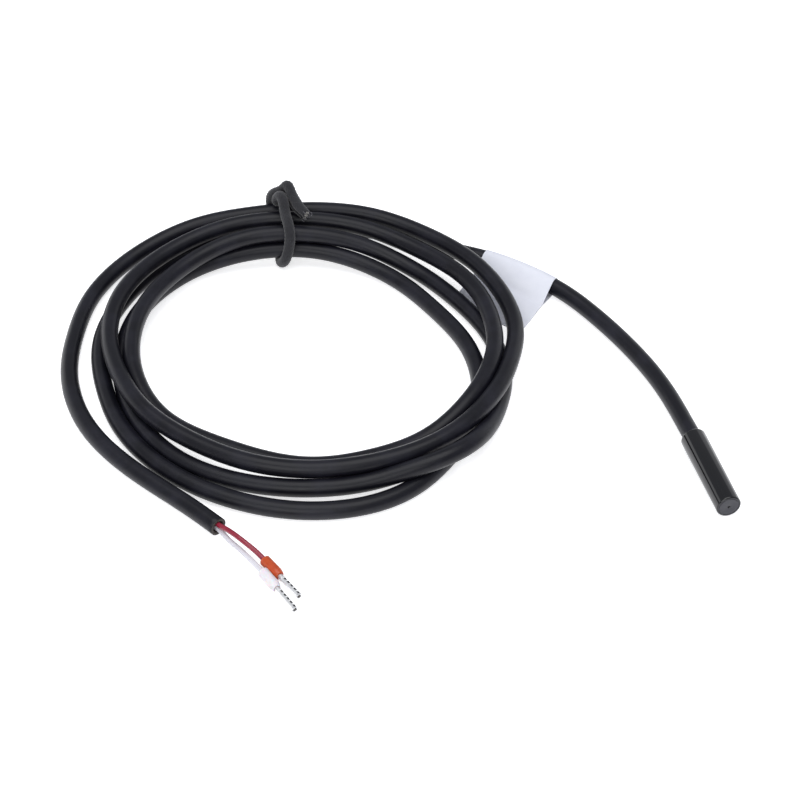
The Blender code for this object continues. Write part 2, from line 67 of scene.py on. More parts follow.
# Cable: about 1.5 m of round two-core cable in a soft black PVC jacket. It leaves the sheath, passes under
# the coil, makes four loose laps that lie on and beside each other, and ends at the stripped wires.
MM = 0.001
CABLE_D = 4.3 * MM
SHEATH_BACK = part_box("sensor_sheath")[1][1]
SHEATH_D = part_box("sensor_sheath")[1][2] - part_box("sensor_sheath")[0][2]
COIL_MIDDLE = (-82.0 * MM, 62.0 * MM)
COIL_FIRST = math.radians(20)
COIL_STEP = math.radians(20)
LAP_STEP = math.radians(10)
ROUTE_SPACING, CABLE_SPACING = 2 * MM, 1.2 * MM   # between the cable's points, before and after it settles
# How far each lap lies from the coil's middle, in mm, and how many cables it lies above the floor
COIL_PLACES = (
    (64.2, 0.1), (56.6, 0), (53.7, 0), (51, 0), (51, 0), (54, 0), (53.5, 0), (52, 0), (49.5, 0), (49.5, 0),
    (50.5, 0), (52, 0), (53.5, 0), (53, 0), (48.5, 0), (45, 0), (41.5, 0), (38.5, 0), (36.5, 0),
    (38, 0), (39.5, 0), (41, 0), (43.5, 0), (47, 0), (47.5, 0), (46.5, 0), (46, 0), (46.5, 0),
    (47, 0), (46.5, 0), (47, 0.1), (49, 0.3), (53.5, 1.1), (50, 0.3), (48, 0), (45.5, 0), (43.5, 0),
    (44, 0.1), (43, 0.7), (42, 1), (44.5, 1), (45.5, 1), (45, 1), (44, 1), (43.5, 0.6), (41, 0),
    (38, 0), (37.5, 0), (39, 0), (39.5, 0), (41.5, 0), (44.5, 0.8), (46, 1.1), (46.5, 1), (47.5, 1),
    (47.5, 1), (48.5, 1), (48.5, 1), (51, 1), (53, 1), (52.5, 1), (49.5, 0.9), (46, 1), (44.5, 1),
    (42.5, 0.8), (43, 0.8), (44, 0.8), (45.5, 0.9), (47.5, 1.1), (48, 1.1), (49, 1), (52, 0.7), (53, 1),
    (54, 1), (54.5, 1), (53.5, 0.9), (56, 0.7),
)
# The free runs, in mm: from the sheath to the coil, and from the coil to the stripped end
LEAD_ROUTE = (
    (0, 17, 2.7), (0, 23, 2.4), (-0.5, 32.5, 2.2), (-2.3, 42.5, 2.2), (-4.7, 52, 2.2), (-8, 61.5, 2.2),
    (-12, 70.5, 2.5), (-17.5, 79, 2.7),
)
TAIL_ROUTE = (
    (-97.5, 118, 7.1), (-107, 116.5, 5.5), (-116.5, 113, 4), (-124.5, 107, 2.9), (-131, 99.5, 2.3),
    (-135, 90.5, 2.2), (-138, 81, 2.2), (-140, 71, 2.2), (-140, 61, 2.2), (-138.5, 51.5, 2.2),
    (-135, 42, 2.2), (-130, 33, 2.2), (-124.5, 25, 2.2), (-118.5, 17, 2.2), (-113, 8.7, 2.2),
)
TIE_D = 2.6 * MM
TIE_WIDE = 2.75 * MM
TIE_SQUEEZED = 2.3 * MM     # its strands press into each other in the knot
TIE_GAP = 0.3 * MM
TIE_ANGLE = math.radians(86.5)
TIE_LIFT_HALF = math.radians(45)
TIE_SEAT_HALF = math.radians(3)


def in_metres(route):
    return [tuple(value * MM for value in point) for point in route]


def smooth_points(points, spacing):
    """Points at an even spacing on a smooth curve through the given ones."""
    given = np.array(points, float)
    reach = np.r_[0, np.cumsum(np.linalg.norm(np.diff(given, axis=0), axis=1))]
    slope = np.gradient(given, reach, axis=0)
    at = np.linspace(0, reach[-1], max(2, round(reach[-1] / spacing) + 1))
    left = np.clip(np.searchsorted(reach, at, side="right") - 1, 0, len(given) - 2)
    span = (reach[left + 1] - reach[left])[:, None]
    share = (at[:, None] - reach[left][:, None]) / span
    square, cube = share ** 2, share ** 3
    return ((2 * cube - 3 * square + 1) * given[left] + (cube - 2 * square + share) * span * slope[left]
            + (3 * square - 2 * cube) * given[left + 1] + (cube - square) * span * slope[left + 1])


def lift_over_tie(angle):
    """The coil rises a little where the tie's cord runs under it."""
    away = abs((angle - TIE_ANGLE + math.pi) % (2 * math.pi) - math.pi)
    share = min(max((away - TIE_SEAT_HALF) / TIE_LIFT_HALF, 0), 1)
    return (TIE_D + TIE_GAP) * math.cos(share * math.pi / 2) ** 2


def lap_point(angle):
    """A place on the laps, by the angle travelled, read smoothly between the coil's places."""
    steps = (angle - COIL_FIRST) / COIL_STEP
    left = min(max(int(steps), 0), len(COIL_PLACES) - 2)
    share = steps - left
    near = np.array([COIL_PLACES[min(max(left + k, 0), len(COIL_PLACES) - 1)] for k in (-1, 0, 1, 2)])
    before, after = (near[2] - near[0]) / 2, (near[3] - near[1]) / 2
    radius, level = ((2 * share ** 3 - 3 * share ** 2 + 1) * near[1]
                     + (share ** 3 - 2 * share ** 2 + share) * before
                     + (3 * share ** 2 - 2 * share ** 3) * near[2] + (share ** 3 - share ** 2) * after)
    x = COIL_MIDDLE[0] + radius * MM * math.cos(angle)
    y = COIL_MIDDLE[1] + radius * MM * math.sin(angle)
    return x, y, CABLE_D * (0.5 + max(level, 0)) + lift_over_tie(angle)


def settle(path, gap, skip, still=None, still_gap=0.0, rounds=400):
    """Moves a cord's points until its own strands, and the still points beside it, only touch. The moves are
    eased along the cord, as its stiffness does, and nothing goes under the floor."""
    home, place = path.copy(), path.copy()
    one, other = np.triu_indices(len(path), skip)
    for _ in range(rounds):
        between = place[other] - place[one]
        apart = np.linalg.norm(between, axis=1)
        close = np.flatnonzero(apart < gap)
        a, b = one[close], other[close]
        push = 0.35 * (gap - apart[close] + 1e-9)[:, None] * between[close] / apart[close][:, None]
        move, count = np.zeros_like(place), np.ones(len(place))
        np.add.at(move, a, -push)
        np.add.at(move, b, push)
        np.add.at(count, a, 1)
        np.add.at(count, b, 1)
        place += move / np.maximum(count - 1, 1)[:, None]
        if still is not None:
            away = place[:, None] - still[None]
            reach = np.linalg.norm(away, axis=2)
            nearest = reach.argmin(axis=1)
            rows = np.arange(len(place))
            short = np.maximum(still_gap - reach[rows, nearest], 0)
            place += 0.5 * (short / reach[rows, nearest])[:, None] * away[rows, nearest]
        off = place - home
        off[1:-1] = 0.6 * off[1:-1] + 0.2 * (off[:-2] + off[2:])
        place = home + off
        place[:, 2] = np.maximum(place[:, 2], gap / 2)
    return place


def iron(path, rounds):
    """Takes small kinks out of a path and keeps its long bends: each pass eases in, the next lets out."""
    path = path.copy()
    for _ in range(rounds):
        for share in (0.5, -0.51):
            path[1:-1] += share * ((path[:-2] + path[2:]) / 2 - path[1:-1])
    return path


def cord_frames(path):
    """Each point's direction and two directions across it, carried along without twist."""
    ahead = np.gradient(path, axis=0)
    ahead /= np.linalg.norm(ahead, axis=1)[:, None]
    up = Vector((0, 0, 1)) if abs(ahead[0][2]) < 0.9 else Vector((0, 1, 0))
    across = Vector(ahead[0]).cross(up).normalized()
    frames = []
    for direction in ahead:
        direction = Vector(direction)
        across = (across - direction * across.dot(direction)).normalized()
        frames.append((direction, across, direction.cross(across)))
    return frames


def outward(mesh):
    """Turns every face of a closed mesh outwards."""
    shell = bmesh.new()
    shell.from_mesh(mesh)
    bmesh.ops.recalc_face_normals(shell, faces=shell.faces)
    shell.to_mesh(mesh)
    shell.free()


def round_cord(name, path, radius, sides, start=(), end=(), relief=None):
    """A closed round tube along a path. start and end list what turns in from each end, as pairs of distance
    past the end and radius. Its UV map runs once round the cord and, in metres, along it. relief gives a
    height from the share of a turn and the distance along."""
    frames = cord_frames(path)
    along = np.r_[0, np.cumsum(np.linalg.norm(np.diff(path, axis=0), axis=1))]
    stations = [(0, -past, r) for past, r in reversed(start)]
    stations += [(k, 0, radius) for k in range(len(path))]
    stations += [(len(path) - 1, past, r) for past, r in end]
    verts, faces, uvs, rings = [], [], [], []
    for k, past, r in stations:
        direction, across, up = frames[k]
        centre = Vector(path[k]) + direction * past
        ring = []
        for side in range(1 if r == 0 else sides):
            turn = side / sides
            height = relief(turn, along[k]) if relief else 0
            out = across * math.cos(2 * math.pi * turn) + up * math.sin(2 * math.pi * turn)
            ring.append(len(verts))
            verts.append(centre + out * (r + height if r else 0))
        rings.append((ring, along[k] + past))
    for (ring, here), (following, there) in zip(rings, rings[1:]):
        for side in range(sides):
            following_side = (side + 1) % sides
            corners = [(ring[side % len(ring)], side, here), (following[side % len(following)], side, there),
                       (following[following_side % len(following)], side + 1, there),
                       (ring[following_side % len(ring)], side + 1, here)]
            kept = [c for n, c in enumerate(corners) if c[0] not in [d[0] for d in corners[:n]]]
            faces.append([vert for vert, _, _ in kept])
            uvs += [(turn / sides, distance) for _, turn, distance in kept]
    mesh = bpy.data.meshes.new(name)
    mesh.from_pydata(verts, [], faces)
    layer = mesh.uv_layers.new(name="cord")
    layer.data.foreach_set("uv", np.array(uvs).ravel())
    mesh.shade_smooth()
    outward(mesh)
    return placed(name, mesh)


def finished(name):
    """A new material, and its Principled shader."""
    made = bpy.data.materials.new(name)
    made.use_nodes = True
    return made, made.node_tree.nodes["Principled BSDF"]


def linear(code):
    """An sRGB hex colour as linear values."""
    parts = [int(code[k:k + 2], 16) / 255 for k in (1, 3, 5)]
    return (*[p / 12.92 if p <= 0.04045 else ((p + 0.055) / 1.055) ** 2.4 for p in parts], 1)


def add(surface, kind, settings=None, sockets=None):
    """Adds a node with its settings, and gives each named socket a value or another node's output."""
    tree = surface.node_tree if hasattr(surface, "node_tree") else surface
    node = tree.nodes.new(kind)
    for key, value in (settings or {}).items():
        setattr(node, key, value)
    link(tree, node, sockets or {})
    return node


def link(tree, node, sockets):
    """Gives each named socket of a node a value or another node's output."""
    for key, value in sockets.items():
        if isinstance(value, bpy.types.Node):
            value = value.outputs[0]
        if isinstance(value, bpy.types.NodeSocket):
            tree.links.new(value, node.inputs[key])
        else:
            node.inputs[key].default_value = value


def toned(name, dark, light, noise, shader, bump=None):
    """A finish whose colour drifts between two tones with a noise that runs through the piece. noise and
    shader hold the sockets of those two nodes. Where the noise is felt too, bump is its strength and
    distance."""
    made, principled = finished(name)
    place = add(made, "ShaderNodeTexCoord")
    cloud = add(made, "ShaderNodeTexNoise", sockets={"Vector": place.outputs["Object"], **noise})
    tone = add(made, "ShaderNodeMix", {"data_type": "RGBA"},
               {0: cloud.outputs["Fac"], 6: linear(dark), 7: linear(light)})
    link(made.node_tree, principled, {"Base Color": tone.outputs[2], **shader})
    if bump:
        felt = add(made, "ShaderNodeBump",
                   sockets={"Height": cloud.outputs["Fac"], "Strength": bump[0], "Distance": bump[1]})
        link(made.node_tree, principled, {"Normal": felt})
    return made


# Soft PVC, extruded: satin black with a cool cast, a faint draw grain along it and a mottled, handled skin.
PVC_BLACK, PVC_WORN = "#101017", "#1d1d27"
DRAW_LINES = 46              # round the jacket, about 0.3 mm apart
jacket, jacket_shader = finished("soft_pvc_extruded")
cord_map = add(jacket, "ShaderNodeUVMap", {"uv_map": "cord"})
draw_scale = add(jacket, "ShaderNodeMapping",
                 sockets={"Vector": cord_map.outputs["UV"], "Scale": (DRAW_LINES, 14, 1)})
draw_grain = add(jacket, "ShaderNodeTexNoise", sockets={"Vector": draw_scale, "Scale": 1.0, "Detail": 2.0})
places = add(jacket, "ShaderNodeTexCoord")
skin = add(jacket, "ShaderNodeTexNoise",
           sockets={"Vector": places.outputs["Object"], "Scale": 900.0, "Detail": 3.0})
handling = add(jacket, "ShaderNodeTexNoise",
               sockets={"Vector": places.outputs["Object"], "Scale": 120.0, "Detail": 4.0, "Roughness": 0.6})
worn = add(jacket, "ShaderNodeMapRange",
           sockets={"Value": handling.outputs["Fac"], "From Min": 0.45, "From Max": 0.75})
tone = add(jacket, "ShaderNodeMix", {"data_type": "RGBA"},
           {0: worn.outputs[0], 6: linear(PVC_BLACK), 7: linear(PVC_WORN)})
gloss = add(jacket, "ShaderNodeMapRange", sockets={
    "Value": handling.outputs["Fac"], "From Min": 0.3, "From Max": 0.7, "To Min": 0.32, "To Max": 0.44})
fine = add(jacket, "ShaderNodeMath", {"operation": "MULTIPLY_ADD"},
           {0: skin.outputs["Fac"], 1: 0.35, 2: draw_grain.outputs["Fac"]})
jacket_bump = add(jacket, "ShaderNodeBump", sockets={"Height": fine, "Strength": 0.25, "Distance": 0.00004})
link(jacket.node_tree, jacket_shader, {
    "Base Color": tone.outputs[2], "Roughness": gloss.outputs[0], "Normal": jacket_bump, "IOR": 1.53,
    "Specular IOR Level": 0.25})

exit_point = (0, SHEATH_BACK, SHEATH_D / 2)
coil_end = COIL_FIRST + COIL_STEP * (len(COIL_PLACES) - 1)
lap_angles = np.linspace(COIL_FIRST, coil_end, round((coil_end - COIL_FIRST) / LAP_STEP) + 1)
cable_route = [exit_point, *in_metres(LEAD_ROUTE), *[lap_point(angle) for angle in lap_angles],
               *in_metres(TAIL_ROUTE)]
cable_path = iron(settle(iron(smooth_points(cable_route, ROUTE_SPACING), 300), CABLE_D, 8), 20)
cable_path = smooth_points(cable_path, CABLE_SPACING)
in_sheath = np.array([(0, SHEATH_BACK - 5 * MM, SHEATH_D / 2),
                      (0, SHEATH_BACK - 2.5 * MM, SHEATH_D / 2)])
JACKET_WALL = 0.75 * MM
CABLE_SIDES = 24
jacket_inner = CABLE_D / 2 - JACKET_WALL
cut_end = ((0.05 * MM, CABLE_D / 2 - 0.08 * MM), (0.08 * MM, CABLE_D / 2 - 0.3 * MM),
           (0.0, jacket_inner + 0.1 * MM), (-0.15 * MM, jacket_inner), (-1.6 * MM, jacket_inner - 0.1 * MM),
           (-1.6 * MM, 0))
cable = round_cord("cable_jacket", np.vstack([in_sheath, cable_path]), CABLE_D / 2, CABLE_SIDES,
                   start=((0, 0),), end=cut_end)
cable.data.materials.append(jacket)
# The cut face of the PVC is browner and duller than its skin.
cut_pvc = toned("soft_pvc_cut", "#1f1d1c", "#453d36", {"Scale": 3000.0}, {"Roughness": 0.6})
cable.data.materials.append(cut_pvc)
for face in cable.data.polygons[-len(cut_end) * CABLE_SIDES:]:
    face.material_index = 1
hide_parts("cable_lead", "cable_coil", "cable_tail")
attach(cable, "root")

# Sheath: the probe's cap, one black ABS moulding with a blind bore for the cable. Its sides are polished and
# taper a little for the mould, and its flat tip is spark-eroded, with the gate in the middle.
SHEATH_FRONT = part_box("sensor_sheath")[0][1]
SHEATH_TIP_D = 5.8 * MM
SHEATH_BORE = CABLE_D + 0.2 * MM
SHEATH_TIP_WALL = 1.8 * MM
TIP_ROUND, SHOULDER_ROUND = 0.4 * MM, 0.6 * MM
GATE_D, GATE_DEPTH = 0.8 * MM, 0.3 * MM
RIM_GROOVE_D, RIM_GROOVE_WIDTH, RIM_GROOVE_DEPTH = 4.9 * MM, 0.14 * MM, 0.08 * MM
HEADING_TO_TIP = math.radians(-90)


def fillet(corner, start, end, radius, steps=7):
    """Points that round a profile's corner, from its edge towards start to its edge towards end."""
    corner, start, end = Vector(corner), Vector(start), Vector(end)
    one, other = (start - corner).normalized(), (end - corner).normalized()
    half = one.angle(other) / 2
    middle = corner + (one + other).normalized() * radius / math.sin(half)
    arm = corner + one * radius / math.tan(half) - middle
    last = corner + other * radius / math.tan(half) - middle
    swing = arm.angle(last)
    points = []
    for step in range(steps + 1):
        share = step / steps
        points.append(middle + (arm * math.sin((1 - share) * swing) + last * math.sin(share * swing))
                      / math.sin(swing))
    return [(point.x, point.y) for point in points]


def level_ways(heading):
    """The level direction of a heading, and the level one to its left."""
    ahead = Vector((math.cos(heading), math.sin(heading), 0))
    return ahead, Vector((-ahead.y, ahead.x, 0))


def closed_mesh(name, verts, faces, sharp):
    """A smooth closed mesh whose edges are sharp where they turn by more than sharp degrees."""
    mesh = bpy.data.meshes.new(name)
    mesh.from_pydata(verts, [], faces)
    mesh.shade_smooth()
    outward(mesh)
    mesh.set_sharp_from_angle(angle=math.radians(sharp))
    return mesh


def turned(name, outline, place, heading, sides, sharp=40):
    """A piece turned round a level axis from an outline of (along, radius), which starts and ends on the axis
    or runs right round a wall."""
    verts, rings, faces = [], [], []
    lead_on, beside = level_ways(heading)
    for along, radius in outline:
        ring = []
        for side in range(sides if radius else 1):
            turn = 2 * math.pi * side / sides
            ring.append(len(verts))
            verts.append(Vector(place) + lead_on * along + radius * (beside * math.cos(turn)
                                                                     + Vector((0, 0, math.sin(turn)))))
        rings.append(ring)
    if outline[0][1]:
        rings.append(rings[0])
    for ring, following in zip(rings, rings[1:]):
        for side in range(sides):
            step = (side + 1) % sides
            corners = (ring[side % len(ring)], ring[step % len(ring)], following[step % len(following)],
                       following[side % len(following)])
            faces.append(list(dict.fromkeys(corners)))
    return placed(name, closed_mesh(name, verts, faces, sharp))


sheath_long = SHEATH_BACK - SHEATH_FRONT
tip_r, bore_r, groove_r = SHEATH_TIP_D / 2, SHEATH_BORE / 2, RIM_GROOVE_D / 2
sheath_outline = [(sheath_long - GATE_DEPTH, 0), (sheath_long - GATE_DEPTH, 0.27 * GATE_D),
                  (sheath_long - 0.15 * GATE_DEPTH, 0.4 * GATE_D), (sheath_long, 0.5 * GATE_D),
                  (sheath_long, groove_r - RIM_GROOVE_WIDTH),
                  (sheath_long - RIM_GROOVE_DEPTH, groove_r - 0.1 * MM),
                  (sheath_long - RIM_GROOVE_DEPTH, groove_r - 0.04 * MM), (sheath_long, groove_r)]
sheath_outline += fillet((sheath_long, tip_r), (sheath_long, 0), (0, SHEATH_D / 2), TIP_ROUND)
sheath_outline += fillet((0, SHEATH_D / 2), (sheath_long, tip_r), (0, bore_r), SHOULDER_ROUND)
sheath_outline += [(0, bore_r + 0.1 * MM), (0.1 * MM, bore_r), (sheath_long - SHEATH_TIP_WALL, bore_r),
                   (sheath_long - SHEATH_TIP_WALL, 0)]
sheath = turned("probe_sheath", sheath_outline, exit_point, HEADING_TO_TIP, 96)
for face in sheath.data.polygons:
    face.material_index = int(face.normal.y < -0.95 and face.center.y < SHEATH_FRONT + GATE_DEPTH * 1.1)

# ABS from a polished cavity: near-black and glossy, with a cooled skin's faint ripple and hairline scratches.
ABS_BLACK, ABS_ERODED = "#0c0c0f", "#36363e"
polished, polished_shader = finished("abs_polished_cavity")
on_sheath = add(polished, "ShaderNodeTexCoord")
ripple = add(polished, "ShaderNodeTexNoise",
             sockets={"Vector": on_sheath.outputs["Object"], "Scale": 500.0, "Detail": 1.0})
stretched = add(polished, "ShaderNodeMapping", sockets={
    "Vector": on_sheath.outputs["Object"], "Rotation": (0.2, 0.5, 0.9), "Scale": (9000, 500, 9000)})
scratches = add(polished, "ShaderNodeTexNoise", sockets={"Vector": stretched, "Scale": 1.0, "Detail": 2.0})
scratched = add(polished, "ShaderNodeMapRange", sockets={
    "Value": scratches.outputs["Fac"], "From Min": 0.6, "From Max": 0.8, "To Min": 0.09, "To Max": 0.24})
ripple_bump = add(polished, "ShaderNodeBump",
                  sockets={"Height": ripple.outputs["Fac"], "Strength": 0.08, "Distance": 0.00005})
link(polished.node_tree, polished_shader, {
    "Base Color": linear(ABS_BLACK), "Roughness": scratched.outputs[0], "Normal": ripple_bump, "IOR": 1.54})
# The eroded tip: matt, a shade greyer, with a grain of about 0.08 mm.
eroded, eroded_shader = finished("abs_spark_eroded")
on_tip = add(eroded, "ShaderNodeTexCoord")
pits = add(eroded, "ShaderNodeTexVoronoi", sockets={"Vector": on_tip.outputs["Object"], "Scale": 12000.0})
pit_tone = add(eroded, "ShaderNodeMix", {"data_type": "RGBA"},
               {0: pits.outputs["Distance"], 6: linear("#2c2c32"), 7: linear(ABS_ERODED)})
pit_bump = add(eroded, "ShaderNodeBump",
               sockets={"Height": pits.outputs["Distance"], "Strength": 0.5, "Distance": 0.00003})
link(eroded.node_tree, eroded_shader, {
    "Base Color": pit_tone.outputs[2], "Roughness": 0.5, "Normal": pit_bump, "IOR": 1.54})
sheath.data.materials.append(polished)
sheath.data.materials.append(eroded)
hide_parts("sensor_sheath")
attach(sheath, "root")

# Inside the sheath: the bead, its leads in their tubes, the crimped splices and the core ends, all held in
# potting resin. They keep the shapes of the drawn parts and get the finish of the real ones.
def dress(nodes, surface):
    """Gives parts of the frame a new finish."""
    for node in nodes:
        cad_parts[node].material_slots[0].material = surface


# Cast epoxy: dark and glassy, with small bubbles.
resin, resin_shader = finished("epoxy_cast")
in_resin = add(resin, "ShaderNodeTexCoord")
bubbles = add(resin, "ShaderNodeTexVoronoi", sockets={"Vector": in_resin.outputs["Object"], "Scale": 2500.0})
bubble_bump = add(resin, "ShaderNodeBump",
                  sockets={"Height": bubbles.outputs["Distance"], "Strength": 0.3, "Distance": 0.00005})
resin_cloud = add(resin, "ShaderNodeTexNoise", sockets={"Vector": in_resin.outputs["Object"], "Scale": 700.0})
resin_tone = add(resin, "ShaderNodeMix", {"data_type": "RGBA"},
                 {0: resin_cloud.outputs["Fac"], 6: linear("#1b1613"), 7: linear("#33281f")})
link(resin.node_tree, resin_shader, {
    "Base Color": resin_tone.outputs[2], "Roughness": 0.18, "Normal": bubble_bump, "IOR": 1.55})
dress(["potting_resin"], resin)

# Dipped epoxy on the bead: dark green and glossy, thicker in some places than in others.
bead = toned("epoxy_dipped", "#24402a", "#41634a", {"Scale": 900.0, "Detail": 2.0},
             {"Roughness": 0.2, "IOR": 1.55}, (0.3, 0.0001))
dress(["thermistor_bead"], bead)

# PTFE tube: milky white and waxy, with a faint cloud in it.
tube_white = toned("ptfe_extruded", "#d9dcdf", "#eceef0", {"Scale": 1500.0}, {"Roughness": 0.42, "IOR": 1.35})
dress(["lead_tube_red", "lead_tube_white"], tube_white)

# Tinned copper, drawn and pressed: bright grey, cloudy, and duller in some places than in others.
tinned, tinned_shader = finished("tin_plated_copper")
on_tin = add(tinned, "ShaderNodeTexCoord")
tin_cloud = add(tinned, "ShaderNodeTexNoise", sockets={
    "Vector": on_tin.outputs["Object"], "Scale": 2200.0, "Detail": 4.0, "Roughness": 0.65})
tin_tone = add(tinned, "ShaderNodeMix", {"data_type": "RGBA"},
               {0: tin_cloud.outputs["Fac"], 6: linear("#d8d8d9"), 7: linear("#fafafa")})
tin_gloss = add(tinned, "ShaderNodeMapRange", sockets={
    "Value": tin_cloud.outputs["Fac"], "From Min": 0.3, "From Max": 0.7, "To Min": 0.52, "To Max": 0.36})
tin_bump = add(tinned, "ShaderNodeBump",
               sockets={"Height": tin_cloud.outputs["Fac"], "Strength": 0.25, "Distance": 0.00003})
link(tinned.node_tree, tinned_shader, {
    "Base Color": tin_tone.outputs[2], "Roughness": tin_gloss.outputs[0], "Metallic": 1.0,
    "Normal": tin_bump})
dress(["bead_lead_red", "bead_lead_white", "splice_red", "splice_white"], tinned)


def insulation(name, dark, light):
    """Core insulation, thin hard PVC over the strands: glossy, and the strands' lay shows through."""
    return toned(name, dark, light, {"Scale": 2200.0, "Detail": 3.0, "Roughness": 0.6},
                 {"Roughness": 0.2, "IOR": 1.53}, (0.7, 0.00008))


red_pvc = insulation("pvc_core_red", "#74182a", "#a42c44")
white_pvc = insulation("pvc_core_white", "#cccad2", "#e6e4ea")
dress(["core_end_red"], red_pvc)
dress(["core_end_white"], white_pvc)

# Marker flag: one strip of white vinyl film goes round the cable near the coil, and its two ends are stuck
# together. It leaves the cable's top at a slope, lies down on the floor, and is pushed in under the coil.
MARKER_FROM_SHEATH = 66.3 * MM
MARKER_WIDTH = 21.5 * MM
FLAG_REACH = 18.3 * MM       # from the cable's middle to the flag's straight far edge
FLAG_FREE_R = 46.3 * MM      # the lowest lap of the coil stops it at this distance from the coil's middle
FILM = 0.16 * MM
FILM_MEETS = (6.2 * MM, 0.85 * MM)   # where the two sheets meet: out from the cable's middle, and up
FLAG_SKEW = math.radians(5)  # the strip was put on a little askew
FLAG_FLAT = 15.0 * MM        # from here on the flag lies on the floor
marker_path = smooth_points(cable_path, 0.25 * MM)
travelled = np.r_[0, np.cumsum(np.linalg.norm(np.diff(marker_path, axis=0), axis=1))]
first = marker_path[np.argmin(abs(travelled - MARKER_FROM_SHEATH))]
last = marker_path[np.argmin(abs(travelled - (MARKER_FROM_SHEATH + MARKER_WIDTH)))]
flag_side = Vector((first[1] - last[1], last[0] - first[0], 0)).normalized()
flag_side.rotate(Euler((0, 0, FLAG_SKEW)))


def flag_line(here, reach):
    """The film's middle line across the cable, as places out from the cable's middle and up."""
    wrap_r, sheet = CABLE_D / 2 + 0.03 * MM + FILM / 2, FILM + 0.01 * MM
    meet_out, meet_up = FILM_MEETS
    over = []
    for share in np.linspace(1, 0, 14):
        out = meet_out + (reach - meet_out) * share
        lift = max(1 - (out - meet_out) / (FLAG_FLAT - meet_out), 0)
        over.append((out, FILM / 2 + (meet_up - FILM / 2) * lift * lift * (3 - 2 * lift)))
    below = math.hypot(meet_out, meet_up + sheet - here[2])
    leaves = math.atan2(meet_up + sheet - here[2], meet_out) + math.acos(wrap_r / below)
    line = [(out, up + sheet) for out, up in over[:-1]]
    tangent = (wrap_r * math.cos(leaves), here[2] + wrap_r * math.sin(leaves))
    line += [(meet_out + (tangent[0] - meet_out) * s, meet_up + sheet + (tangent[1] - meet_up - sheet) * s)
             for s in (0, 0.12, 0.4, 0.7)]
    for swing in np.linspace(leaves, math.radians(275), 28):
        line.append((wrap_r * math.cos(swing), here[2] + wrap_r * math.sin(swing)))
    start = line[-1]
    for share in (0.25, 0.5, 0.75):
        line.append((start[0] + (meet_out - start[0]) * share,
                     start[1] + (meet_up - start[1]) * share * share))
    return line + over[::-1]


def marker_flag(name):
    """The film as one closed sheet: the middle line at each station along the cable, thickened both ways."""
    stations = 44
    coil_middle = Vector(COIL_MIDDLE)
    verts, faces, rings = [], [], []
    for station in range(stations + 1):
        at = MARKER_FROM_SHEATH + MARKER_WIDTH * station / stations
        here = Vector(marker_path[np.argmin(abs(travelled - at))])
        chord = Vector(first).lerp(Vector(last), station / stations)
        reach = FLAG_REACH - (here - chord).dot(flag_side)
        while reach > FLAG_FLAT and (here.xy + flag_side.xy * reach - coil_middle).length < FLAG_FREE_R:
            reach -= 0.1 * MM
        line = flag_line(here, reach)
        ring = []
        for way in (1, -1):
            edge = []
            for k, (out, up) in enumerate(line):
                before, after = line[max(k - 1, 0)], line[min(k + 1, len(line) - 1)]
                run = Vector((after[0] - before[0], after[1] - before[1])).normalized()
                place = here + flag_side * (out - run.y * way * FILM / 2)
                edge.append((place.x, place.y, up + run.x * way * FILM / 2))
            ring += edge[::way]
        rings.append(range(len(verts), len(verts) + len(ring)))
        verts += ring
    count = len(rings[0])
    for ring, following in zip(rings, rings[1:]):
        for k in range(count):
            step = (k + 1) % count
            faces.append((ring[k], ring[step], following[step], following[k]))
    for ring in (rings[0], rings[-1]):
        for k in range(count // 2 - 1):
            faces.append((ring[k], ring[k + 1], ring[count - 2 - k], ring[count - 1 - k]))
    return placed(name, closed_mesh(name, verts, faces, 40))


marker = marker_flag("marker_film")
# Coated vinyl film, calendered: cool white, nearly matt, with a soft mottle and a bent sheet's ripple.
film, film_shader = finished("vinyl_film_coated")
on_film = add(film, "ShaderNodeTexCoord")
mottle = add(film, "ShaderNodeTexNoise",
             sockets={"Vector": on_film.outputs["Object"], "Scale": 350.0, "Detail": 3.0})
film_tone = add(film, "ShaderNodeMix", {"data_type": "RGBA"},
                {0: mottle.outputs["Fac"], 6: linear("#e0e2ec"), 7: linear("#ebedf5")})
film_fine = add(film, "ShaderNodeTexNoise",
                sockets={"Vector": on_film.outputs["Object"], "Scale": 5000.0, "Detail": 2.0})
film_height = add(film, "ShaderNodeMath", {"operation": "MULTIPLY_ADD"},
                  {0: film_fine.outputs["Fac"], 1: 0.1, 2: mottle.outputs["Fac"]})
film_bump = add(film, "ShaderNodeBump", sockets={"Height": film_height, "Strength": 0.3, "Distance": 0.0003})
link(film.node_tree, film_shader, {"Base Color": film_tone.outputs[2], "Roughness": 0.5, "Normal": film_bump})
marker.data.materials.append(film)
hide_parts("marker_label")
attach(marker, "root")

# Tie: an elastic cord of rubber threads in a braided polyester sleeve. It goes once round the coil, hooks
# behind itself in a half knot on top, and its two ends lie side by side on the coil, cut square and fraying.
TIE_FROM_MIDDLE = 48.0 * MM
CARRIERS, BRAID_PITCH, YARN_HEIGHT = 8, 2.4 * MM, 0.08 * MM
SLACK_LENGTH, SLACK_LOSS = 5 * MM, 0.35 * MM   # towards its cut ends the sleeve draws in
